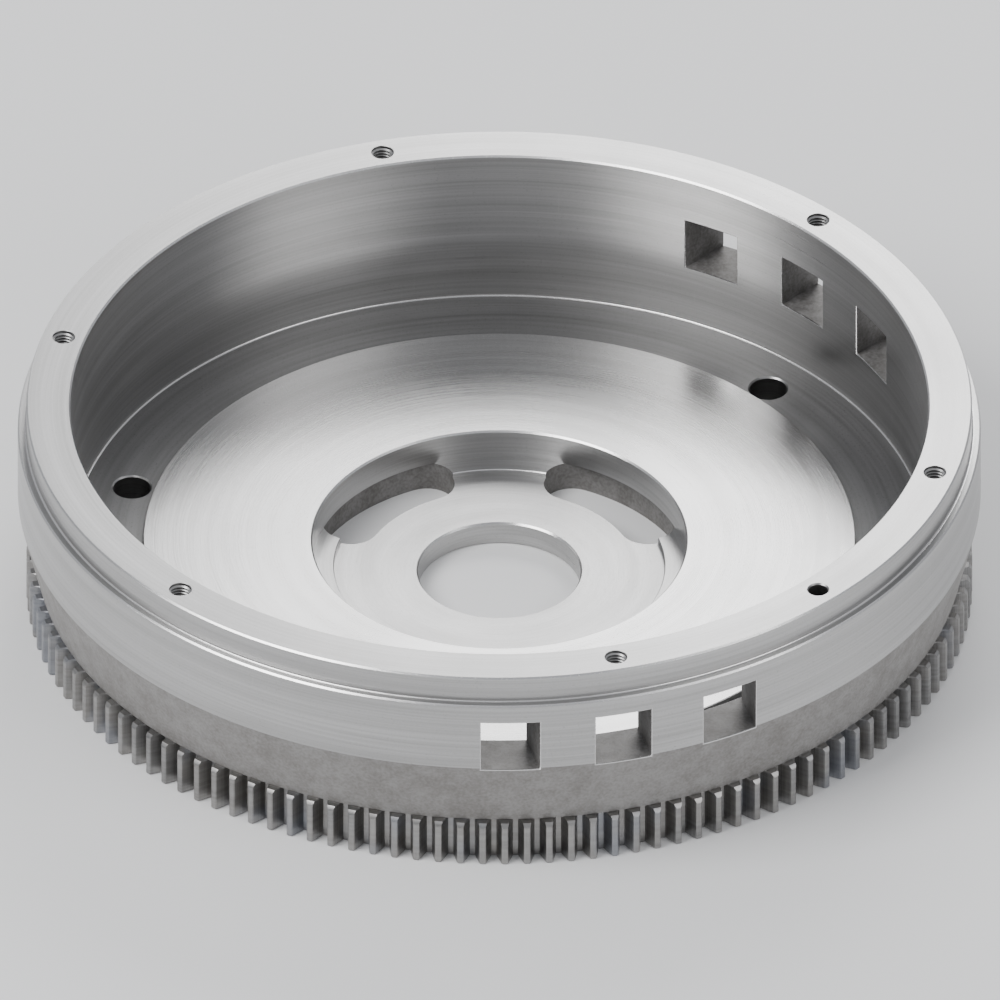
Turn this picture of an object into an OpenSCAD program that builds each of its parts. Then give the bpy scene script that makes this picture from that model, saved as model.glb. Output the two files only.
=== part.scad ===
// Pot flywheel of a small diesel engine: a deep cast-iron pot that houses a clutch,
// with a steel starter ring gear shrunk on to its crank end.
// Millimetres. +Z runs along the spin axis, from the crank face at z = 0 to the open rim.

/* [Ring gear] */
// Number of starter teeth
gear_teeth = 133; // [90:1:180]
// Tooth module: pitch diameter divided by the number of teeth
gear_module = 2.5; // [2:0.25:4]
// Pressure angle of the teeth
pressure_angle = 20; // [14.5:0.5:25]
// Face width of the ring gear
gear_width = 17.2; // [12:0.1:40]
// Thickness of the steel ring under the tooth roots
gear_ring = 8.1; // [5:0.1:14]

/* [Pot] */
// Depth of the pot, from the rim down to the run-out ring
pot_depth = 61; // [40:0.5:100]
// Thickness of the pot's floor at the run-out ring
floor_t = 20.5; // [14:0.1:40]
// Thickness of the pot's wall at its neck
wall = 15.7; // [11:0.1:24]
// How far the band stands out of the neck
band_rise = 3.1; // [1:0.1:6]
// Height of the band
band_h = 27.2; // [10:0.1:32]
// Height of the turned neck between the rim and the band
neck_h = 10.1; // [4:0.1:16]
// How far the shoulder that the ring gear sits against lies inside the tips of the teeth
shoulder_drop = 3.5; // [2:0.1:5]

/* [Friction face] */
// Width of the run-out ring between the pot's wall and the friction face
runout_w = 26; // [20:0.5:40]
// How far the friction face stands above the run-out ring
friction_rise = 2; // [0.5:0.1:3]

/* [Hub] */
// Diameter of the hub recess
recess_d = 133.4; // [126:0.2:170]
// Diameter of the ledge's inner edge, which is the slots' pitch circle too
ledge_d = 118; // [96:0.5:124]
// Height of the ledge above the hub's floor
ledge_h = 2.1; // [1:0.1:4]
// Thickness of the hub's web
web_t = 9.1; // [6:0.1:14]
// Diameter of the bore for the crankshaft's spigot
bore_d = 58; // [40:0.5:70]

/* [Hub slots] */
// Width of the curved slots through the web
slot_w = 20; // [12:0.5:24]
// Angle between the centres of a slot's two round ends
slot_sweep = 38; // [20:1:50]
// How far the slots are cut up past the ledge, into the foot of the recess's wall
slot_relief = 0.3; // [0.1:0.1:1]
// Directions of the slots' middles
slot_dirs = [45, 135]; // [-180:1:180]

/* [Windows] */
// Side of the square windows through the pot's wall
window = 20.4; // [12:0.1:26]
// Distance between the middles of neighbouring windows
window_pitch = 40.5; // [32:0.5:56]
// Depth of the windows' top edges below the rim
window_drop = 17.6; // [12:0.1:30]
// Windows in each group
window_count = 3; // [1:1:3]
// Directions of the two groups' middles
window_dirs = [45, -75]; // [-180:1:180]

/* [Rim holes] */
// Number of tapped holes for the clutch cover
tap_count = 6; // [3:1:9]
// Wall diameter of a tapped hole
tap_d = 6.8; // [4:0.1:9]
// Full depth of a tapped hole's drilling
tap_depth = 14; // [10:0.5:40]
// Direction of the first tapped hole
tap_dir = 45; // [-180:1:180]
// Diameter of the locating hole for the clutch cover
locate_d = 7; // [4:0.1:9]
// Depth of the locating hole
locate_depth = 16; // [8:0.5:30]
// Direction of the locating hole
locate_dir = -45; // [-180:1:180]
// Width of the chamfer at the mouths of the rim's holes
mouth_chamfer = 0.5; // [0.2:0.1:1]

/* [Floor holes] */
// Number of plain holes through the run-out ring
drill_count = 3; // [1:1:6]
// Diameter of those holes
drill_d = 13.5; // [6:0.5:16]
// Distance from the friction face's edge to those holes' middles
drill_offset = 8.6; // [8:0.1:15]
// Direction of the first of them
drill_dir = 45; // [-180:1:180]

/* [Hidden] */
$fn = 96;
// How far a cutting shape runs past the face that it cuts
past = 1;

// Ring gear, by the usual proportions of an involute tooth: the depth of its root below
// the pitch circle is in modules, and its flanks are drawn in a few straight steps
root_depth = 1.25;
flank_steps = 3;
pitch_r = gear_module * gear_teeth / 2;
tip_r = pitch_r + gear_module;
root_r = pitch_r - root_depth * gear_module;
base_r = pitch_r * cos(pressure_angle);
seat_r = root_r - gear_ring;

// Heights above the crank face
rim_z = floor_t + pot_depth;
band_top_z = rim_z - neck_h;
band_foot_z = band_top_z - band_h;
friction_z = floor_t + friction_rise;
ledge_z = web_t + ledge_h;
slot_top_z = ledge_z + slot_relief;

// Radii: the neck is flush with the tips of the teeth
neck_r = tip_r;
band_r = neck_r + band_rise;
shoulder_r = tip_r - shoulder_drop;
pot_r = neck_r - wall;
friction_r = pot_r - runout_w;
recess_r = recess_d / 2;
ledge_r = ledge_d / 2;
bore_r = bore_d / 2;
rim_hole_r = pot_r + wall / 2;
drill_r = friction_r + drill_offset;

// Slope of a drill's point, in degrees
drill_point = 31;

function polar(r, a) = [r * cos(a), r * sin(a)];

// The involute function of a pressure angle, in degrees
function involute(a) = tan(a) * 180 / PI - a;

// Half of the tooth's angle at radius r
function half_tooth(r) =
    90 / gear_teeth + involute(pressure_angle) - involute(acos(min(1, base_r / r)));

// Radii of a flank's points, from the root circle out to the tip
flank_radii = [for (i = [0 : flank_steps]) root_r + (tip_r - root_r) * i / flank_steps];

function tooth_outline(mid) = concat(
    [for (r = flank_radii) polar(r, mid - half_tooth(r))],
    [for (i = [flank_steps : -1 : 0]) polar(flank_radii[i], mid + half_tooth(flank_radii[i]))]
);

// Half of the casting's section, from the bore's foot round by the gear seat and the rim:
// the wall tapers from the band down to the shoulder above the ring gear
body_section = [
    [bore_r, 0],
    [seat_r, 0],
    [seat_r, gear_width],
    [shoulder_r, gear_width],
    [band_r, band_foot_z],
    [band_r, band_top_z],
    [neck_r, band_top_z],
    [neck_r, rim_z],
    [pot_r, rim_z],
    [pot_r, floor_t],
    [friction_r, floor_t],
    [friction_r, friction_z],
    [recess_r, friction_z],
    [recess_r, ledge_z],
    [ledge_r, ledge_z],
    [ledge_r, web_t],
    [bore_r, web_t]
];

// A blind hole drilled down from the rim, with a pointed end and a chamfered mouth
module rim_hole(d, depth) {
    translate([0, 0, rim_z - depth]) cylinder(d = d, h = depth + past);
    translate([0, 0, rim_z - depth - d / 2 * tan(drill_point)])
        cylinder(d1 = 0, d2 = d, h = d / 2 * tan(drill_point));
    translate([0, 0, rim_z - mouth_chamfer])
        cylinder(d1 = d, d2 = d + 2 * mouth_chamfer, h = mouth_chamfer);
}

// One group of parallel windows, cut outwards along +X
module window_group() {
    for (i = [0 : window_count - 1])
        translate([pot_r / 2, (i - (window_count - 1) / 2) * window_pitch - window / 2,
                   rim_z - window_drop - window])
            cube([pot_r, window, window]);
}

// A curved slot with round ends, cut up from the crank face through the web and the ledge
module hub_slot() {
    rotate([0, 0, -slot_sweep / 2])
        translate([0, 0, -past])
            rotate_extrude(angle = slot_sweep)
                translate([ledge_r - slot_w / 2, 0]) square([slot_w, slot_top_z + past]);
    for (side = [-1, 1])
        rotate([0, 0, side * slot_sweep / 2])
            translate([ledge_r, 0, -past]) cylinder(d = slot_w, h = slot_top_z + past);
}

module flywheel_body() {
    color("silver")
        difference() {
            rotate_extrude() polygon(body_section);
            for (dir = window_dirs) rotate([0, 0, dir]) window_group();
            for (dir = slot_dirs) rotate([0, 0, dir]) hub_slot();
            for (i = [0 : tap_count - 1])
                rotate([0, 0, tap_dir + i * 360 / tap_count])
                    translate([rim_hole_r, 0, 0]) rim_hole(tap_d, tap_depth);
            rotate([0, 0, locate_dir])
                translate([rim_hole_r, 0, 0]) rim_hole(locate_d, locate_depth);
            for (i = [0 : drill_count - 1])
                rotate([0, 0, drill_dir + i * 360 / drill_count])
                    translate([drill_r, 0, -past]) cylinder(d = drill_d, h = floor_t + 2 * past);
        }
}

module ring_gear() {
    color("dimgray")
        difference() {
            linear_extrude(height = gear_width)
                polygon([for (t = [0 : gear_teeth - 1]) each tooth_outline(t * 360 / gear_teeth)]);
            translate([0, 0, -past]) cylinder(r = seat_r, h = gear_width + 2 * past);
        }
}

flywheel_body();
ring_gear();
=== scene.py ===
"""A pot-type clutch flywheel: a turned grey-iron casting with a shrunk-on starter ring gear.

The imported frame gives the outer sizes. The classes below build the same two pieces with
broken edges, tapped threads and chamfered teeth, and give each surface its own finish.
"""

import logging
import math
from dataclasses import dataclass, field
from enum import Enum

import bmesh
import bpy
from mathutils import Matrix, Vector


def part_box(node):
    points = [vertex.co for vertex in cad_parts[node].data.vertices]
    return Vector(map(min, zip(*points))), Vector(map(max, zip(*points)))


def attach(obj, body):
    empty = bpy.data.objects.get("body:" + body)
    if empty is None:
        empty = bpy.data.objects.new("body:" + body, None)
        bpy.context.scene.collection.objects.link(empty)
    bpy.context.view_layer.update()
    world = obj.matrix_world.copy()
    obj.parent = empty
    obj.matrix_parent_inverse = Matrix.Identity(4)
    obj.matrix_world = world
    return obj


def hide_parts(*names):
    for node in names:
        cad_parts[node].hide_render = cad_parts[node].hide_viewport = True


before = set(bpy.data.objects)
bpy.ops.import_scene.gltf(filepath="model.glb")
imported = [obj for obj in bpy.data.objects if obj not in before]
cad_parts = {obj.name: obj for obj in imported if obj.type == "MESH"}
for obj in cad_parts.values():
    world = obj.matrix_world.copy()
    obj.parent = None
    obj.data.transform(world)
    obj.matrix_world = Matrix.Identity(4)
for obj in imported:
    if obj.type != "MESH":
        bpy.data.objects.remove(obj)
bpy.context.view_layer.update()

MM = 0.001
# How far apart two points may lie and still count as one place
NEAR = 0.01 * MM
# How far apart two vertices may lie and still be merged
WELD = 0.002 * MM
TURN = 2 * math.pi
ORIGIN = (0.0, 0.0, 0.0)
UP = (0.0, 0.0, 1.0)
LOG = logging.getLogger("flywheel")

Colour = tuple[float, float, float, float]


# ---------------------------------------------------------------------------
# Shader maths
# ---------------------------------------------------------------------------


class Signal:
    """A shader socket that Python's operators work on."""

    def __init__(self, bench: "Bench", socket: bpy.types.NodeSocket) -> None:
        """Wraps a socket of a material under construction.

        Args:
            bench: The material that the socket belongs to.
            socket: The output socket to wrap.
        """
        self.bench = bench
        self.socket = socket

    def __add__(self, other: "Signal | float") -> "Signal":
        """Adds a signal or a number."""
        return self.bench.maths("ADD", self, other)

    def __radd__(self, other: float) -> "Signal":
        """Adds this signal to a number."""
        return self.bench.maths("ADD", other, self)

    def __sub__(self, other: "Signal | float") -> "Signal":
        """Takes a signal or a number away."""
        return self.bench.maths("SUBTRACT", self, other)

    def __rsub__(self, other: float) -> "Signal":
        """Takes this signal away from a number."""
        return self.bench.maths("SUBTRACT", other, self)

    def __mul__(self, other: "Signal | float") -> "Signal":
        """Multiplies by a signal or a number."""
        return self.bench.maths("MULTIPLY", self, other)

    def __rmul__(self, other: float) -> "Signal":
        """Multiplies a number by this signal."""
        return self.bench.maths("MULTIPLY", other, self)

    def __truediv__(self, other: "Signal | float") -> "Signal":
        """Divides by a signal or a number."""
        return self.bench.maths("DIVIDE", self, other)

    def __rtruediv__(self, other: float) -> "Signal":
        """Divides a number by this signal."""
        return self.bench.maths("DIVIDE", other, self)

    def ramp(self, low: float, high: float) -> "Signal":
        """Rises smoothly from 0 to 1 as this signal goes from low to high.

        Args:
            low: Where the rise starts.
            high: Where the rise ends.

        Returns:
            The signal between 0 and 1.
        """
        return self.bench.signal(
            "ShaderNodeMapRange",
            {"interpolation_type": "SMOOTHSTEP"},
            {"Value": self, "From Min": low, "From Max": high},
        )


class Bench:
    """Builds the node tree of one material."""

    def __init__(self, name: str) -> None:
        """Starts an empty material.

        Args:
            name: The material's name.
        """
        self.material = bpy.data.materials.new(name)
        self.material.use_nodes = True
        self.tree = self.material.node_tree
        self.tree.nodes.clear()

    def node(self, kind: str, settings: dict, inputs: dict) -> bpy.types.Node:
        """Adds a node.

        Args:
            kind: The node's type.
            settings: Its own settings, which are set first.
            inputs: A value or a signal for each input, by name or by number.

        Returns:
            The new node.
        """
        made = self.tree.nodes.new(kind)
        for key, value in settings.items():
            setattr(made, key, value)
        for key, value in inputs.items():
            if isinstance(value, Signal):
                self.tree.links.new(value.socket, made.inputs[key])
            else:
                made.inputs[key].default_value = value
        return made

    def signal(self, kind: str, settings: dict, inputs: dict, output: int | str = 0) -> Signal:
        """Adds a node and wraps one of its outputs.

        Args:
            kind: The node's type.
            settings: Its own settings.
            inputs: A value or a signal for each input.
            output: The output's name or number.

        Returns:
            The wrapped output.
        """
        return Signal(self, self.node(kind, settings, inputs).outputs[output])

    def maths(self, operation: str, *terms: "Signal | float") -> Signal:
        """Adds a Math node for an operation on its terms."""
        return self.signal("ShaderNodeMath", {"operation": operation}, dict(enumerate(terms)))

    def place(self) -> Signal:
        """Gives the point in the object's own coordinates, in metres."""
        return self.signal("ShaderNodeTexCoord", {}, {}, "Object")

    def split(self, vector: Signal) -> tuple[Signal, Signal, Signal]:
        """Parts a vector into its three coordinates."""
        parts = self.node("ShaderNodeSeparateXYZ", {}, {"Vector": vector})
        x, y, z = (Signal(self, socket) for socket in parts.outputs)
        return x, y, z

    def join(self, x: "Signal | float", y: "Signal | float", z: "Signal | float") -> Signal:
        """Makes a vector of three coordinates."""
        return self.signal("ShaderNodeCombineXYZ", {}, {"X": x, "Y": y, "Z": z})

    def noise(self, vector: Signal, scale: float, detail: float = 2.0) -> Signal:
        """Gives smooth noise from 0 to 1.

        Args:
            vector: Where it is read.
            scale: Features for each unit of the vector.
            detail: Number of finer layers.

        Returns:
            The noise.
        """
        inputs = {"Vector": vector, "Scale": scale, "Detail": detail}
        return self.signal("ShaderNodeTexNoise", {}, inputs)

    def mix(
        self, amount: "Signal | float", first: "Signal | Colour", second: "Signal | Colour"
    ) -> Signal:
        """Mixes two colours.

        Args:
            amount: How much of the second, from 0 to 1.
            first: The colour at 0.
            second: The colour at 1.

        Returns:
            The mixed colour.
        """
        inputs = {0: amount, 6: first, 7: second}
        return self.signal("ShaderNodeMix", {"data_type": "RGBA"}, inputs, 2)

    def bump(self, height: Signal, depth: float) -> Signal:
        """Turns a height into a normal.

        Args:
            height: The height, from 0 to 1.
            depth: What a height of 1 stands for, in metres.

        Returns:
            The normal.
        """
        inputs = {"Height": height, "Distance": depth, "Strength": 1.0}
        return self.signal("ShaderNodeBump", {}, inputs)

    def finish(
        self, colour: Signal, roughness: Signal, normal: Signal, metallic: "Signal | float"
    ) -> bpy.types.Material:
        """Closes the material with a Principled shader.

        Args:
            colour: The base colour.
            roughness: The roughness.
            normal: The surface normal.
            metallic: How metallic it is, from 0 to 1.

        Returns:
            The finished material.
        """
        inputs = {
            "Base Color": colour,
            "Roughness": roughness,
            "Normal": normal,
            "Metallic": metallic,
        }
        shader = self.signal("ShaderNodeBsdfPrincipled", {}, inputs)
        self.node("ShaderNodeOutputMaterial", {}, {"Surface": shader})
        return self.material


def grey(value: float, warmth: float = 0.0) -> Colour:
    """Gives a grey, a little warm or cold.

    Args:
        value: Its lightness, linear.
        warmth: How far red rises above blue.

    Returns:
        The colour.
    """
    return (value * (1 + warmth), value, value * (1 - warmth), 1.0)


class Marks(Enum):
    """The way that a tool's marks run over a surface."""

    FACED = "rings round the axis on a flat face"
    TURNED = "rings stacked along the axis on a round wall"


@dataclass(frozen=True)
class MachinedIron:
    """Grey iron cut by a turning tool or a grinding wheel."""

    name: str
    marks: Marks
    light: float = 0.54
    dark: float = 0.36
    roughness: float = 0.33
    feed: float = 0.9 * MM
    groove: float = 0.016 * MM
    scratches: float = 0.25
    fleck_size: float = 0.45 * MM

    def build(self) -> bpy.types.Material:
        """Makes the material.

        Returns:
            The material.
        """
        bench = Bench(self.name)
        place = bench.place()
        x, y, z = bench.split(place)
        radius = bench.maths("SQRT", x * x + y * y)
        along = radius if self.marks is Marks.FACED else z
        across = x / radius
        round_ = y / radius
        fine = bench.noise(bench.join(along / self.feed, across * 1.3, round_ * 1.3), 1.0, 3.0)
        broad = bench.noise(
            bench.join(along / (self.feed * 7), across * 0.9, round_ * 0.9), 1.0, 1.0
        )
        patches = bench.noise(place, 14.0, 3.0)
        flecks = bench.noise(place, 1 / self.fleck_size, 2.0).ramp(0.60, 0.74)
        scores = self.scores(bench, place)

        tone = fine * 0.45 + broad * 0.35 + patches * 0.20
        colour = bench.mix(tone.ramp(0.25, 0.75), grey(self.dark, 0.012), grey(self.light, 0.004))
        colour = bench.mix(flecks * 0.35, colour, grey(self.dark * 0.45, 0.02))
        colour = bench.mix(scores * 0.5, colour, grey(self.light * 1.15))
        rough = (fine - 0.5) * 0.16 + (patches - 0.5) * 0.22 + flecks * 0.12 + self.roughness
        height = fine * 0.7 + broad * 0.5 - flecks * 0.5 - scores * 0.8
        return bench.finish(colour, rough, bench.bump(height, self.groove), 1.0)

    def scores(self, bench: Bench, place: Signal) -> Signal:
        """Gives thin handling scratches in two directions.

        Args:
            bench: The material's bench.
            place: The point in the object's coordinates.

        Returns:
            The scratches, from 0 to 1.
        """
        total = None
        for turn in (0.5, 1.9, 2.7):
            lay = bench.signal(
                "ShaderNodeMapping",
                {},
                {"Vector": place, "Rotation": (0.2, 0.1, turn), "Scale": (1600.0, 22.0, 60.0)},
            )
            streak = bench.noise(lay, 1.0, 1.0).ramp(0.73, 0.80)
            total = streak if total is None else bench.maths("MAXIMUM", total, streak)
        return total * self.scratches


@dataclass(frozen=True)
class CastSkin:
    """The rough grey skin that a sand mould or a core leaves on iron."""

    name: str
    light: float = 0.30
    dark: float = 0.15
    grain: float = 1.1 * MM
    relief: float = 0.10 * MM

    def build(self) -> bpy.types.Material:
        """Makes the material.

        Returns:
            The material.
        """
        bench = Bench(self.name)
        place = bench.place()
        sand = bench.noise(place, 1 / self.grain, 4.0)
        lumps = bench.noise(place, 0.18 / self.grain, 2.0)
        stains = bench.noise(place, 35.0, 3.0)
        tone = sand * 0.5 + lumps * 0.3 + stains * 0.2
        colour = bench.mix(tone.ramp(0.3, 0.7), grey(self.dark, 0.05), grey(self.light, 0.02))
        rough = (sand - 0.5) * 0.3 + 0.62
        height = sand * 0.8 + lumps * 0.6
        return bench.finish(colour, rough, bench.bump(height, self.relief), 0.75)


@dataclass(frozen=True)
class GearSteel:
    """Hardened steel, hobbed, with the faint colours of its heating."""

    name: str
    light: float = 0.42
    dark: float = 0.22
    feed: float = 1.4 * MM
    ridge: float = 0.012 * MM
    tint: float = 0.35

    def build(self) -> bpy.types.Material:
        """Makes the material.

        Returns:
            The material.
        """
        bench = Bench(self.name)
        place = bench.place()
        x, y, z = bench.split(place)
        radius = bench.maths("SQRT", x * x + y * y)
        rings = bench.noise(bench.join(radius / (0.5 * MM), x / radius, y / radius), 1.0, 2.0)
        hobbing = bench.noise(bench.join(z / self.feed, x * 40, y * 40), 1.0, 2.0)
        patches = bench.noise(place, 30.0, 3.0)
        grit = bench.noise(place, 1 / (0.5 * MM), 2.0)
        tone = rings * 0.3 + hobbing * 0.3 + patches * 0.4
        colour = bench.mix(tone.ramp(0.3, 0.7), grey(self.dark, 0.02), grey(self.light))
        straw = (0.34, 0.27, 0.17, 1.0)
        blue = (0.17, 0.20, 0.27, 1.0)
        heat = bench.mix(patches.ramp(0.42, 0.62), straw, blue)
        colour = bench.mix(patches.ramp(0.35, 0.7) * self.tint, colour, heat)
        rough = (grit - 0.5) * 0.2 + (patches - 0.5) * 0.2 + 0.38
        height = hobbing * 0.8 + rings * 0.3 + grit * 0.3
        return bench.finish(colour, rough, bench.bump(height, self.ridge), 1.0)


# ---------------------------------------------------------------------------
# Mesh helpers
# ---------------------------------------------------------------------------


def polar(radius: float, angle: float, z: float = 0.0) -> Vector:
    """Gives the point at a radius and an angle, in radians."""
    return Vector((radius * math.cos(angle), radius * math.sin(angle), z))


def wire(
    bm: bmesh.types.BMesh, points: list[Vector], closed: bool = False
) -> list[bmesh.types.BMVert]:
    """Adds a line of edges through points.

    Args:
        bm: The mesh.
        points: The line's points.
        closed: Whether the last point joins the first.

    Returns:
        The line's vertices, in order.
    """
    verts = [bm.verts.new(point) for point in points]
    for first, second in zip(verts, verts[1:]):
        bm.edges.new((first, second))
    if closed:
        bm.edges.new((verts[-1], verts[0]))
    return verts


def revolve(bm: bmesh.types.BMesh, steps: int) -> None:
    """Spins everything in the mesh once round the z axis.

    Args:
        bm: The mesh, holding a line in the xz plane.
        steps: Number of segments in the full turn.
    """
    bmesh.ops.spin(
        bm,
        geom=bm.verts[:] + bm.edges[:],
        cent=ORIGIN,
        axis=UP,
        angle=TURN,
        steps=steps,
        use_merge=True,
    )
    bmesh.ops.remove_doubles(bm, verts=bm.verts, dist=WELD)


def close_up(bm: bmesh.types.BMesh) -> None:
    """Turns every face of a closed mesh outwards."""
    bmesh.ops.recalc_face_normals(bm, faces=bm.faces)


def to_object(
    bm: bmesh.types.BMesh, name: str, materials: list[bpy.types.Material]
) -> bpy.types.Object:
    """Makes an object of a mesh and frees the mesh.

    Args:
        bm: The mesh.
        name: The object's name.
        materials: Its material slots, in order.

    Returns:
        The object, linked to the scene.
    """
    mesh = bpy.data.meshes.new(name)
    bm.to_mesh(mesh)
    bm.free()
    for material in materials:
        mesh.materials.append(material)
    made = bpy.data.objects.new(name, mesh)
    bpy.context.scene.collection.objects.link(made)
    return made


def smooth_up_to(made: bpy.types.Object, angle: float) -> None:
    """Shades an object smooth, and keeps edges sharper than an angle crisp.

    Args:
        made: The object.
        angle: The angle in degrees.
    """
    made.data.shade_smooth()
    made.data.set_sharp_from_angle(angle=math.radians(angle))


def true_up(made: bpy.types.Object, slots: set[int]) -> None:
    """Gives turned faces the exact normals of their cylinders, cones and planes.

    Args:
        made: The object, turned round the z axis.
        slots: The material slots of its turned faces.
    """
    mesh = made.data
    normals = [Vector()] * len(mesh.loops)
    for polygon in mesh.polygons:
        if polygon.material_index not in slots:
            continue
        rise = polygon.normal.z
        spread = math.sqrt(max(0.0, 1 - rise * rise))
        for number in polygon.loop_indices:
            out = mesh.vertices[mesh.loops[number].vertex_index].co.xy.normalized()
            side = math.copysign(spread, polygon.normal.xy.dot(out))
            normals[number] = Vector((out.x * side, out.y * side, rise))
    mesh.normals_split_custom_set(normals)


def set_finish(bm: bmesh.types.BMesh, index: int) -> None:
    """Gives every face of a mesh one material slot."""
    for face in bm.faces:
        face.material_index = index


# ---------------------------------------------------------------------------
# Casting
# ---------------------------------------------------------------------------


# How far the band stands out of the neck
BAND_RISE = 3.1 * MM
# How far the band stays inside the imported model's box
SNUG = 0.002 * MM
# Below this angle between faces, in degrees, an edge is shaded smooth
CRISP = 24


class Surface(Enum):
    """The casting's kinds of surface, by material slot."""

    FACED = 0
    WALL = 1
    FRICTION = 2
    EDGE = 3
    CORED = 4
    DRILLED = 5
    THREAD = 6
    RUNOUT = 7
    SKIN = 8


TURNED_ON_THE_AXIS = (Surface.FACED, Surface.WALL, Surface.FRICTION, Surface.RUNOUT, Surface.SKIN)


def casting_finishes() -> list[bpy.types.Material]:
    """Makes the casting's materials, in the order of its surfaces.

    Returns:
        One material for each Surface.
    """
    return [
        MachinedIron("iron_faced", Marks.FACED).build(),
        MachinedIron("iron_turned", Marks.TURNED, feed=0.8 * MM).build(),
        MachinedIron(
            "iron_ground",
            Marks.FACED,
            light=0.60,
            dark=0.47,
            roughness=0.25,
            feed=0.6 * MM,
            groove=0.009 * MM,
            scratches=0.5,
        ).build(),
        MachinedIron("iron_edge", Marks.TURNED, light=0.80, dark=0.62, roughness=0.24).build(),
        CastSkin("iron_cored").build(),
        MachinedIron("iron_drilled", Marks.TURNED, light=0.42, dark=0.25, feed=0.5 * MM).build(),
        MachinedIron("iron_tapped", Marks.TURNED, light=0.50, dark=0.36, roughness=0.3).build(),
        MachinedIron(
            "iron_run_out",
            Marks.FACED,
            light=0.30,
            dark=0.19,
            roughness=0.48,
            feed=1.6 * MM,
            groove=0.03 * MM,
        ).build(),
        CastSkin("iron_cast_skin", light=0.36, dark=0.22).build(),
    ]


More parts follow.
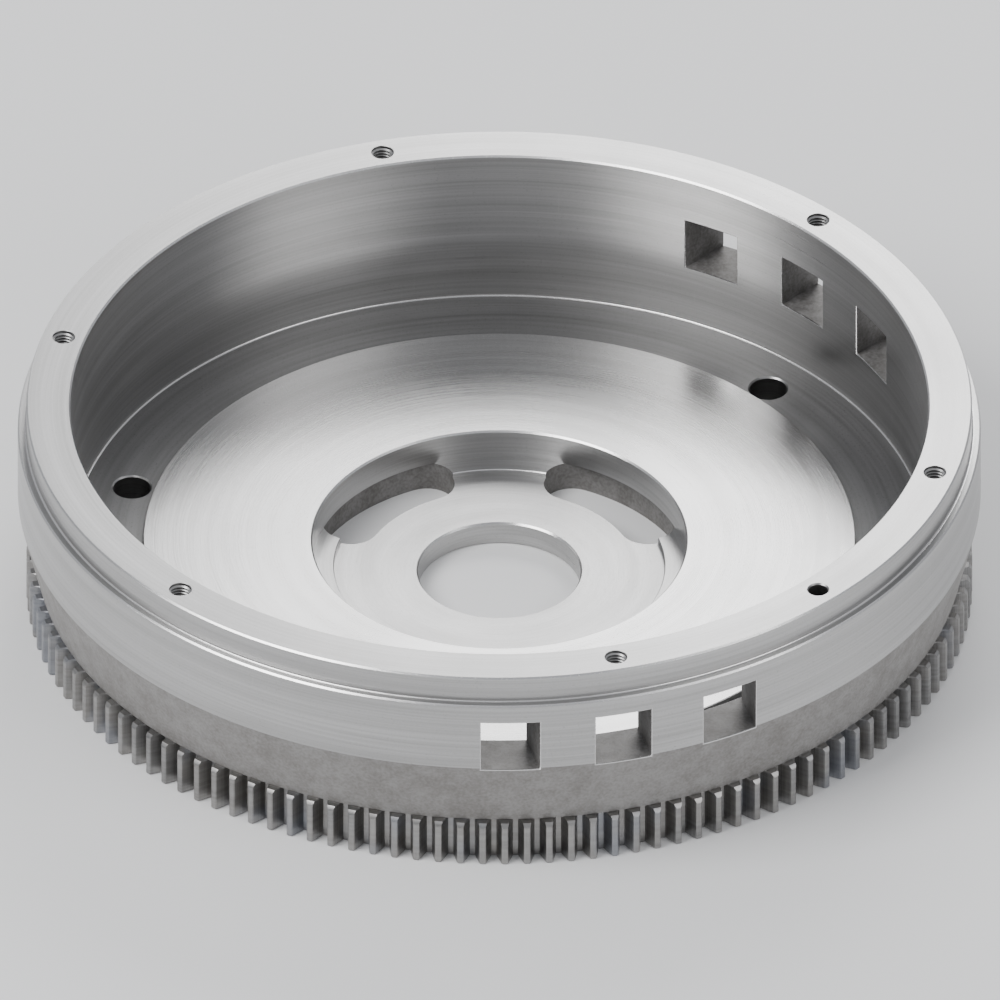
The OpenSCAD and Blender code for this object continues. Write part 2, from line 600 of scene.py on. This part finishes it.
@dataclass
class Casting:
    """The grey-iron body: pot, friction face and hub, with its windows, slots and holes."""

    height: float
    neck_r: float
    band_r: float
    seat_r: float
    seat_h: float
    floor_t: float = 20.5 * MM
    wall: float = 15.7 * MM
    neck_h: float = 10.1 * MM
    band_h: float = 27.2 * MM
    shoulder_drop: float = 3.5 * MM
    runout_w: float = 26 * MM
    friction_rise: float = 2 * MM
    recess_r: float = 66.7 * MM
    ledge_r: float = 59 * MM
    ledge_h: float = 2.1 * MM
    web_t: float = 9.1 * MM
    bore_r: float = 29 * MM
    slot_w: float = 20 * MM
    slot_sweep: float = 38
    slot_relief: float = 0.3 * MM
    slot_dirs: tuple[float, ...] = (45, 135)
    window: float = 20.4 * MM
    window_pitch: float = 40.5 * MM
    window_drop: float = 17.6 * MM
    window_count: int = 3
    window_dirs: tuple[float, ...] = (45, -75)
    tap_count: int = 6
    tap_r: float = 3.4 * MM
    thread_r: float = 4.0 * MM
    thread_pitch: float = 1.25 * MM
    tap_depth: float = 14 * MM
    thread_depth: float = 11.25 * MM
    thread_steps: int = 20
    thread_sink: float = 0.04 * MM
    ridge_share: float = 0.42
    crest_share: float = 0.08
    tap_dir: float = 45
    locate_r: float = 3.5 * MM
    locate_depth: float = 16 * MM
    locate_dir: float = -45
    drill_count: int = 3
    drill_r: float = 6.75 * MM
    drill_offset: float = 8.6 * MM
    drill_dir: float = 45
    mouth: float = 0.5 * MM
    tap_mouth: float = 0.12 * MM
    drill_point: float = 31
    chamfer: float = 0.6 * MM
    fillet: float = 0.64 * MM
    fillet_steps: int = 4
    window_edge: float = 0.4 * MM
    segments: int = 264
    hole_segments: int = 32
    past: float = 1 * MM
    finishes: list[bpy.types.Material] = field(default_factory=list)

    @property
    def pot_r(self) -> float:
        """Radius of the pot's inner wall."""
        return self.neck_r - self.wall

    @property
    def friction_r(self) -> float:
        """Outer radius of the friction face."""
        return self.pot_r - self.runout_w

    @property
    def friction_z(self) -> float:
        """Height of the friction face."""
        return self.floor_t + self.friction_rise

    @property
    def ledge_z(self) -> float:
        """Height of the ledge in the hub recess."""
        return self.web_t + self.ledge_h

    @property
    def rim_hole_r(self) -> float:
        """Radius of the circle that the rim's holes lie on."""
        return self.pot_r + self.wall / 2

    @property
    def band_top(self) -> float:
        """Height of the raised band's top."""
        return self.height - self.neck_h

    def corners(self) -> list[tuple[float, float, float]]:
        """Lists the section's corners.

        Returns:
            Radius, height and edge size of each; a negative size is a fillet.
        """
        band_foot = self.band_top - self.band_h
        edge, hollow = self.chamfer, -self.fillet
        return [
            (self.bore_r, 0, edge),
            (self.seat_r, 0, edge),
            (self.seat_r, self.seat_h, 0),
            (self.neck_r - self.shoulder_drop, self.seat_h, edge / 2),
            (self.band_r, band_foot, 0),
            (self.band_r, self.band_top, edge),
            (self.neck_r, self.band_top, hollow),
            (self.neck_r, self.height, edge),
            (self.pot_r, self.height, edge),
            (self.pot_r, self.floor_t, hollow),
            (self.friction_r, self.floor_t, 0),
            (self.friction_r, self.friction_z, edge / 2),
            (self.recess_r, self.friction_z, edge),
            (self.recess_r, self.ledge_z, 0),
            (self.ledge_r, self.ledge_z, edge / 2),
            (self.ledge_r, self.web_t, 0),
            (self.bore_r, self.web_t, edge),
        ]

    def blank(self) -> bpy.types.Object:
        """Turns the casting's section into a solid, before it is drilled.

        Returns:
            The blank.
        """
        bm = bmesh.new()
        corners = self.corners()
        verts = wire(bm, [Vector((r, 0, z)) for r, z, _ in corners], closed=True)
        for vert, (_, _, size) in zip(verts, corners):
            if size:
                bmesh.ops.bevel(
                    bm,
                    geom=[vert],
                    affect="VERTICES",
                    offset=abs(size),
                    offset_type="OFFSET",
                    segments=1 if size > 0 else self.fillet_steps,
                    profile=0.5,
                    material=-1,
                )
        revolve(bm, self.segments)
        close_up(bm)
        for face in bm.faces:
            face.material_index = self.surface_of(face).value
        return to_object(bm, "flywheel_casting", self.finishes)

    def surface_of(self, face: bmesh.types.BMFace) -> Surface:
        """Says which kind of surface a face of the blank is.

        Args:
            face: The face.

        Returns:
            Its kind.
        """
        level, upright, tapered = 0.99, 0.05, 0.4
        lean = abs(face.normal.z)
        height = face.calc_center_median().z
        if lean > level:
            if abs(height - self.friction_z) < NEAR:
                return Surface.FRICTION
            return Surface.RUNOUT if abs(height - self.floor_t) < NEAR else Surface.FACED
        if lean < upright:
            return Surface.WALL
        return Surface.SKIN if lean < tapered else Surface.EDGE

    def window_cutter(self, bm: bmesh.types.BMesh) -> None:
        """Adds the prisms that cut the windows."""
        for direction in self.window_dirs:
            turn = Matrix.Rotation(math.radians(direction), 4, "Z")
            for number in range(self.window_count):
                aside = (number - (self.window_count - 1) / 2) * self.window_pitch
                z = self.height - self.window_drop - self.window / 2
                middle = Matrix.Translation((self.pot_r, aside, z))
                size = Matrix.Diagonal((self.pot_r, self.window, self.window, 1))
                bmesh.ops.create_cube(bm, size=1, matrix=turn @ middle @ size)

    def slot_outline(self, bm: bmesh.types.BMesh, direction: float) -> None:
        """Adds a curved slot's prism.

        Args:
            bm: The mesh.
            direction: The slot's middle, in degrees.
        """
        half = math.radians(self.slot_sweep / 2)
        middle = math.radians(direction)
        start, end = middle - half, middle + half
        outer_steps, other_steps = 20, 16
        base = -self.past
        outer = self.ledge_r + self.slot_w / 2
        first = bm.verts.new(polar(outer, start, base))
        outline = [first]
        for centre, angle, steps in (
            (Vector((0, 0, base)), 2 * half, outer_steps),
            (polar(self.ledge_r, end, base), math.pi, other_steps),
            (Vector((0, 0, base)), -2 * half, other_steps),
            (polar(self.ledge_r, start, base), math.pi, other_steps),
        ):
            for _ in range(steps):
                out = bmesh.ops.spin(
                    bm, geom=[outline[-1]], cent=centre, axis=UP, angle=angle / steps, steps=1
                )
                last = (g for g in out["geom_last"] if isinstance(g, bmesh.types.BMVert))
                outline.append(next(last))
        bmesh.ops.remove_doubles(bm, verts=[outline[0], outline[-1]], dist=NEAR)
        edges = {edge for vert in outline if vert.is_valid for edge in vert.link_edges}
        face = bmesh.ops.contextual_create(bm, geom=list(edges))["faces"][0]
        grown = bmesh.ops.extrude_face_region(bm, geom=[face])["geom"]
        lifted = [g for g in grown if isinstance(g, bmesh.types.BMVert)]
        rise = self.past + self.ledge_z + self.slot_relief
        bmesh.ops.translate(bm, verts=lifted, vec=(0, 0, rise))

    def bore_cutter(self, line: list[tuple[float, float]], at: Vector) -> bmesh.types.BMesh:
        """Makes a turned cutter for a hole.

        Args:
            line: Radius and height of the cutter's profile, from the top to the foot.
            at: Where its axis stands.

        Returns:
            The cutter's mesh.
        """
        bm = bmesh.new()
        wire(bm, [Vector((r, 0, z)) for r, z in line])
        revolve(bm, self.hole_segments)
        bmesh.ops.translate(bm, verts=bm.verts, vec=at)
        return bm

    def rim_hole(
        self, radius: float, depth: float, mouth: float, angle: float
    ) -> bmesh.types.BMesh:
        """Makes the cutter of a blind hole in the rim, with a chamfered mouth and a drill point.

        Args:
            radius: The hole's radius.
            depth: Its full depth.
            mouth: The width of the chamfer at its mouth.
            angle: Its direction, in degrees.

        Returns:
            The cutter's mesh.
        """
        top, past = self.height, self.past
        point = radius * math.tan(math.radians(self.drill_point))
        line = [
            (0, top + past),
            (radius + mouth + past, top + past),
            (radius, top - mouth),
            (radius, top - depth),
            (0, top - depth - point),
        ]
        return self.bore_cutter(line, polar(self.rim_hole_r, math.radians(angle)))

    def floor_hole(self, angle: float) -> bmesh.types.BMesh:
        """Makes the cutter of a plain hole through the run-out ring.

        Args:
            angle: Its direction, in degrees.

        Returns:
            The cutter's mesh.
        """
        radius, past, top = self.drill_r, self.past, self.floor_t
        line = [
            (0, top + past),
            (radius + self.mouth + past, top + past),
            (radius, top - self.mouth),
            (radius, self.mouth),
            (radius + self.mouth + past, -past),
            (0, -past),
        ]
        where = polar(self.friction_r + self.drill_offset, math.radians(angle))
        return self.bore_cutter(line, where)

    def tap_angles(self) -> list[float]:
        """Lists the directions of the tapped holes, in degrees."""
        return [self.tap_dir + i * 360 / self.tap_count for i in range(self.tap_count)]

    def cutters(self) -> bpy.types.Object:
        """Builds all the shapes that are cut out of the blank, as one object.

        Returns:
            The cutters.
        """
        whole = bmesh.new()
        self.window_cutter(whole)
        for direction in self.slot_dirs:
            self.slot_outline(whole, direction)
        set_finish(whole, Surface.CORED.value)
        holes = [
            self.rim_hole(self.thread_r, self.tap_depth, self.tap_mouth, angle)
            for angle in self.tap_angles()
        ]
        holes.append(self.rim_hole(self.locate_r, self.locate_depth, self.mouth, self.locate_dir))
        holes += [
            self.floor_hole(self.drill_dir + i * 360 / self.drill_count)
            for i in range(self.drill_count)
        ]
        for hole in holes:
            set_finish(hole, Surface.DRILLED.value)
            self.pour(hole, whole)
        close_up(whole)
        return to_object(whole, "cutters", self.finishes)

    @staticmethod
    def pour(source: bmesh.types.BMesh, target: bmesh.types.BMesh) -> None:
        """Moves one mesh's faces into another, and frees it.

        Args:
            source: The mesh that is emptied.
            target: The mesh that is added to.
        """
        carrier = bpy.data.meshes.new("carrier")
        source.to_mesh(carrier)
        source.free()
        target.from_mesh(carrier)
        bpy.data.meshes.remove(carrier)

    def machine(self, blank: bpy.types.Object) -> bmesh.types.BMesh:
        """Cuts the windows, slots and holes out of the blank.

        Args:
            blank: The blank, which is removed.

        Returns:
            The machined mesh.
        """
        tool = self.cutters()
        cut = blank.modifiers.new("cut", "BOOLEAN")
        cut.operation = "DIFFERENCE"
        cut.solver = "EXACT"
        cut.object = tool
        bpy.context.view_layer.update()
        graph = bpy.context.evaluated_depsgraph_get()
        bm = bmesh.new()
        bm.from_mesh(blank.evaluated_get(graph).to_mesh())
        for spent in (blank, tool):
            bpy.data.objects.remove(spent)
        bmesh.ops.remove_doubles(bm, verts=bm.verts, dist=WELD)
        return bm

    def break_edges(self, bm: bmesh.types.BMesh) -> None:
        """Rounds the edges of the windows a little.

        Args:
            bm: The machined mesh.
        """
        floor = self.friction_z + self.past
        cored = Surface.CORED.value
        edges = [
            edge
            for edge in bm.edges
            if len(edge.link_faces) == 2
            and sum(face.material_index == cored for face in edge.link_faces) == 1
            and min(vert.co.z for vert in edge.verts) > floor
        ]
        bmesh.ops.bevel(
            bm,
            geom=edges,
            affect="EDGES",
            offset=self.window_edge,
            offset_type="OFFSET",
            segments=2,
            profile=0.5,
            material=Surface.EDGE.value,
            clamp_overlap=True,
        )

    def threads(self, bm: bmesh.types.BMesh) -> None:
        """Adds the helical ridges of the tapped holes.

        Args:
            bm: The machined mesh.
        """
        turns = int(self.thread_depth / self.thread_pitch)
        half = self.thread_pitch * self.ridge_share
        crest = self.thread_pitch * self.crest_share
        root = self.thread_r + self.thread_sink
        foot = self.height - self.tap_mouth - half - self.thread_pitch * turns
        for angle in self.tap_angles():
            ridge = bmesh.new()
            line = [
                Vector((root, 0, foot - half)),
                Vector((self.tap_r, 0, foot - crest)),
                Vector((self.tap_r, 0, foot + crest)),
                Vector((root, 0, foot + half)),
            ]
            verts = wire(ridge, line, closed=True)
            face = ridge.faces.new(verts)
            bmesh.ops.spin(
                ridge,
                geom=[face] + verts + ridge.edges[:],
                cent=ORIGIN,
                axis=UP,
                dvec=(0, 0, self.thread_pitch / self.thread_steps),
                angle=TURN * turns,
                steps=self.thread_steps * turns,
            )
            close_up(ridge)
            set_finish(ridge, Surface.THREAD.value)
            where = polar(self.rim_hole_r, math.radians(angle))
            bmesh.ops.translate(ridge, verts=ridge.verts, vec=where)
            self.pour(ridge, bm)

    def build(self) -> bpy.types.Object:
        """Makes the finished casting.

        Returns:
            The casting.
        """
        self.finishes = casting_finishes()
        bm = self.machine(self.blank())
        self.break_edges(bm)
        self.threads(bm)
        made = to_object(bm, "flywheel_casting", self.finishes)
        smooth_up_to(made, CRISP)
        true_up(made, {surface.value for surface in TURNED_ON_THE_AXIS})
        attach(made, "root")
        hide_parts("flywheel_body")
        return made


# ---------------------------------------------------------------------------
# Ring gear
# ---------------------------------------------------------------------------


@dataclass
class RingGear:
    """The steel starter ring, with involute teeth chamfered at both ends."""

    tip_r: float
    width: float
    teeth: int = 133
    pressure_angle: float = 20
    depth: float = 2.25
    ring: float = 8.1 * MM
    edge: float = 0.35 * MM
    lead_in: float = 1.2 * MM
    flank_steps: int = 5

    @property
    def module(self) -> float:
        """Pitch diameter divided by the number of teeth."""
        return 2 * self.tip_r / (self.teeth + 2)

    @property
    def root_r(self) -> float:
        """Radius of the tooth roots, whose depth is in modules."""
        return self.tip_r - self.depth * self.module

    @property
    def bore_r(self) -> float:
        """Radius of the ring's bore, which sits on the casting."""
        return self.root_r - self.ring

    def half_tooth(self, radius: float) -> float:
        """Gives half of the tooth's angle at a radius, in radians.

        Args:
            radius: Where it is measured.

        Returns:
            The angle.
        """
        pressure = math.radians(self.pressure_angle)
        base = self.module * self.teeth / 2 * math.cos(pressure)
        local = math.acos(min(1.0, base / radius))
        start = math.tan(pressure) - pressure
        return math.pi / 2 / self.teeth + start - (math.tan(local) - local)

    def sector(self) -> bmesh.types.BMesh:
        """Builds one tooth with its share of the ring.

        Returns:
            The sector's mesh, open where its neighbours join it.
        """
        bm = bmesh.new()
        root = self.root_r
        share = math.pi / self.teeth
        rise = (self.tip_r - root) / self.flank_steps
        radii = [root + rise * i for i in range(self.flank_steps + 1)]
        outline = [polar(root, -share)]
        outline += [polar(r, -self.half_tooth(r)) for r in radii]
        outline += [polar(r, self.half_tooth(r)) for r in reversed(radii)]
        outline += [polar(root, share), polar(self.bore_r, share), polar(self.bore_r, -share)]
        face = bm.faces.new(wire(bm, outline, closed=True))
        grown = bmesh.ops.extrude_face_region(bm, geom=[face])["geom"]
        lifted = [g for g in grown if isinstance(g, bmesh.types.BMVert)]
        bmesh.ops.translate(bm, verts=lifted, vec=(0, 0, self.width))
        close_up(bm)
        self.open_sides(bm, share)
        self.chamfer_ends(bm)
        return bm

    @staticmethod
    def open_sides(bm: bmesh.types.BMesh, share: float) -> None:
        """Removes the two faces where the next sectors join.

        Args:
            bm: The sector.
            share: Half of the sector's angle.
        """
        sides = []
        for face in bm.faces:
            turned = [math.atan2(vert.co.y, vert.co.x) for vert in face.verts]
            at_side = all(abs(abs(angle) - share) < 1e-6 for angle in turned)
            one_side = min(turned) * max(turned) > 0
            if at_side and one_side and abs(face.normal.z) < 0.5:
                sides.append(face)
        bmesh.ops.delete(bm, geom=sides, context="FACES_ONLY")

    def chamfer_ends(self, bm: bmesh.types.BMesh) -> None:
        """Cuts the lead-in at the tooth's upper end and breaks its other edges.

        Args:
            bm: The sector.
        """
        entry = [
            edge
            for edge in bm.edges
            if all(
                vert.co.z > self.width - NEAR and vert.co.xy.length > self.tip_r - NEAR
                for vert in edge.verts
            )
        ]
        bmesh.ops.bevel(
            bm,
            geom=entry,
            affect="EDGES",
            offset=self.lead_in,
            offset_type="OFFSET",
            segments=1,
            profile=0.5,
            material=-1,
        )
        tips = [
            edge
            for edge in bm.edges
            if all(vert.co.xy.length > self.tip_r - NEAR for vert in edge.verts)
            and abs(edge.verts[0].co.z - edge.verts[1].co.z) > self.width / 2
        ]
        rims = [
            edge
            for edge in bm.edges
            if abs(edge.verts[0].co.z - edge.verts[1].co.z) < NEAR
            and len(edge.link_faces) == 2
            and all(vert.co.xy.length > self.root_r - NEAR for vert in edge.verts)
        ]
        bmesh.ops.bevel(
            bm,
            geom=tips + rims,
            affect="EDGES",
            offset=self.edge,
            offset_type="OFFSET",
            segments=1,
            profile=0.5,
            material=-1,
            clamp_overlap=True,
        )

    def build(self) -> bpy.types.Object:
        """Makes the finished ring gear.

        Returns:
            The ring gear.
        """
        bm = self.sector()
        bmesh.ops.spin(
            bm,
            geom=bm.verts[:] + bm.edges[:] + bm.faces[:],
            cent=ORIGIN,
            axis=UP,
            angle=TURN,
            steps=self.teeth,
            use_duplicate=True,
        )
        bmesh.ops.remove_doubles(bm, verts=bm.verts, dist=WELD)
        close_up(bm)
        made = to_object(bm, "starter_ring_gear", [GearSteel("gear_steel").build()])
        smooth_up_to(made, CRISP)
        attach(made, "root")
        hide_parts("ring_gear")
        return made


# ---------------------------------------------------------------------------
# Studio
# ---------------------------------------------------------------------------


@dataclass
class Studio:
    """A pale floor, soft lights and the camera."""

    elevation: float = 35.4
    view_width: float = 0.3568
    aim: tuple[float, float, float] = (0.00025, 0.0, 0.03974)
    distance: float = 1.6

    def floor(self) -> None:
        """Lays the pale floor."""
        bm = bmesh.new()
        bmesh.ops.create_grid(bm, x_segments=1, y_segments=1, size=3)
        bench = Bench("studio_floor")
        tone = bench.noise(bench.place(), 3.0, 2.0)
        colour = bench.mix(tone.ramp(0.2, 0.8), grey(0.80), grey(0.84))
        height = bench.noise(bench.place(), 900.0, 2.0)
        material = bench.finish(colour, tone * 0.05 + 0.6, bench.bump(height, 0.02 * MM), 0.0)
        to_object(bm, "floor", [material])

    def light(
        self, name: str, place: tuple[float, float, float], size: float, power: float
    ) -> None:
        """Hangs a square soft light that faces the object.

        Args:
            name: The light's name.
            place: Where it hangs, in metres.
            size: Its side, in metres.
            power: Its power, in watts.
        """
        lamp = bpy.data.lights.new(name, "AREA")
        lamp.size = size
        lamp.energy = power
        made = bpy.data.objects.new(name, lamp)
        made.location = place
        towards = Vector(self.aim) - Vector(place)
        made.rotation_euler = towards.to_track_quat("-Z", "Y").to_euler()
        bpy.context.scene.collection.objects.link(made)

    def world(self) -> None:
        """Sets the even pale surroundings."""
        world = bpy.data.worlds.new("studio")
        world.use_nodes = True
        back = world.node_tree.nodes["Background"]
        back.inputs["Color"].default_value = (0.93, 0.95, 1.0, 1.0)
        back.inputs["Strength"].default_value = 0.55
        bpy.context.scene.world = world

    def camera(self) -> None:
        """Places the camera, which looks along +y and down."""
        lens = bpy.data.cameras.new("camera")
        lens.type = "ORTHO"
        lens.ortho_scale = self.view_width
        made = bpy.data.objects.new("camera", lens)
        angle = math.radians(self.elevation)
        back = Vector((0, -math.cos(angle), math.sin(angle))) * self.distance
        made.location = Vector(self.aim) + back
        made.rotation_euler = (math.pi / 2 - angle, 0, 0)
        bpy.context.scene.collection.objects.link(made)
        bpy.context.scene.camera = made

    def build(self) -> None:
        """Sets up everything round the object."""
        self.floor()
        self.world()
        self.light("key", (-0.9, -0.5, 1.3), 0.9, 22.0)
        self.light("fill", (1.2, -0.9, 0.8), 1.0, 9.0)
        self.light("back", (0.3, 1.3, 0.9), 0.8, 12.0)
        self.camera()


def main() -> None:
    """Builds the flywheel and the studio round it."""
    logging.basicConfig(level=logging.INFO, format="%(name)s: %(message)s")
    _, body_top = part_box("flywheel_body")
    _, gear_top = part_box("ring_gear")
    Studio().build()
    ring = RingGear(tip_r=body_top.x - BAND_RISE, width=gear_top.z)
    body = Casting(
        height=body_top.z,
        neck_r=ring.tip_r,
        band_r=body_top.x - SNUG,
        seat_r=ring.bore_r,
        seat_h=ring.width,
    )
    for made in (body.build(), ring.build()):
        LOG.info("%s: %d faces", made.name, len(made.data.polygons))


if __name__ == "__main__":
    main()
